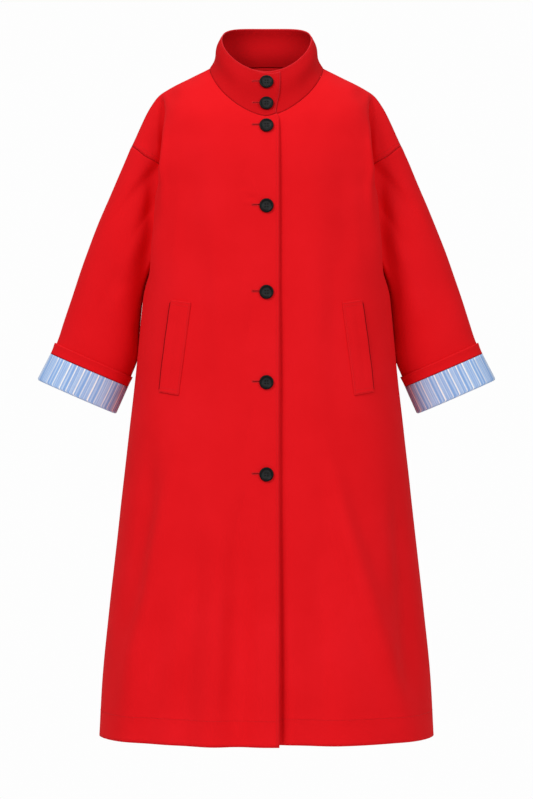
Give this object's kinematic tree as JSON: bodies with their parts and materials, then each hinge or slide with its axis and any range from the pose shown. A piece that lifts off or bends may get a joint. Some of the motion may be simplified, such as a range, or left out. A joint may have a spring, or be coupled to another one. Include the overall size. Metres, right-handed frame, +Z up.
{
  "type": "long coat",
  "caption": "Long A-line red coat in worn, hollow form, with stand collar, buttoned front, dropped shoulders, slanted pocket welts and turned-back cuffs with striped lining",
  "frame": {"origin": "middle of the neck, at the height where the shoulder seams meet the collar", "axes": "+Z up along the body, -Y the way the front faces, +X the wearer's left"},
  "size_m": [0.775, 0.3976, 1.1993],
  "materials": {
    "red_cotton": "matt cotton twill",
    "striped_lining": "striped cotton lining",
    "button": "semi-matt moulded button"
  },
  "bodies": {
    "root": {"front_right": "red_cotton", "front_left": "red_cotton", "back": "red_cotton", "sleeve_right": "red_cotton", "sleeve_left": "red_cotton", "collar": "red_cotton", "cuff_facing_right": "red_cotton", "cuff_facing_left": "red_cotton", "cuff_lining_right": "striped_lining", "cuff_lining_left": "striped_lining", "pocket_welt_right": "red_cotton", "pocket_welt_left": "red_cotton", "button_1": "button", "button_2": "button", "button_3": "button", "button_4": "button", "button_5": "button", "button_6": "button", "button_7": "button"}
  },
  "joints": []
}
